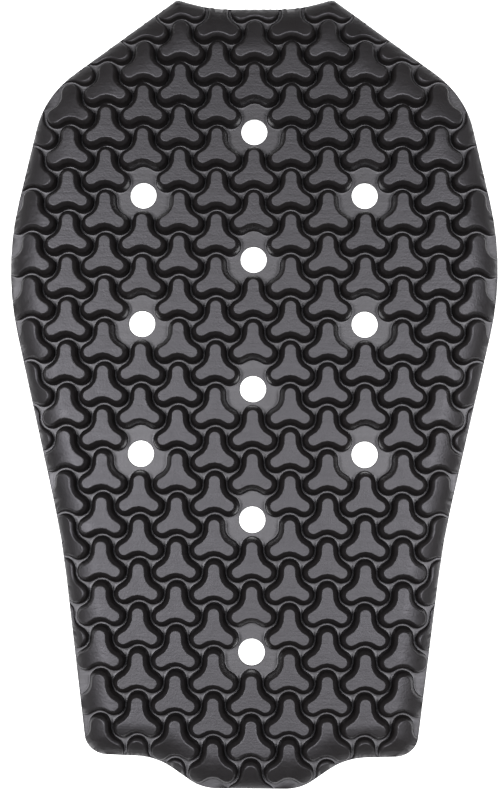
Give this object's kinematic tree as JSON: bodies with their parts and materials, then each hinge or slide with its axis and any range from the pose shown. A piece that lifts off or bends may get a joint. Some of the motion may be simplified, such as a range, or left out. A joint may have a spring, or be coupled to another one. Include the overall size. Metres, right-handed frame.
{
  "type": "back protector insert",
  "caption": "Flexible foam back protector insert: a thin sheet with nested three-lobed studs, round vents and a waisted outline.",
  "frame": {"origin": "middle of the flat back face, below the centre of the pad's bounding box", "axes": "+X across the pad to the wearer's side, +Y towards the neck end, +Z out of the studded face"},
  "size_m": [0.263, 0.4244, 0.011],
  "materials": {
    "foam": "black moulded foam with a satin skin, faint streaks and fine grain"
  },
  "bodies": {
    "root": {"pad": "foam"}
  },
  "joints": []
}
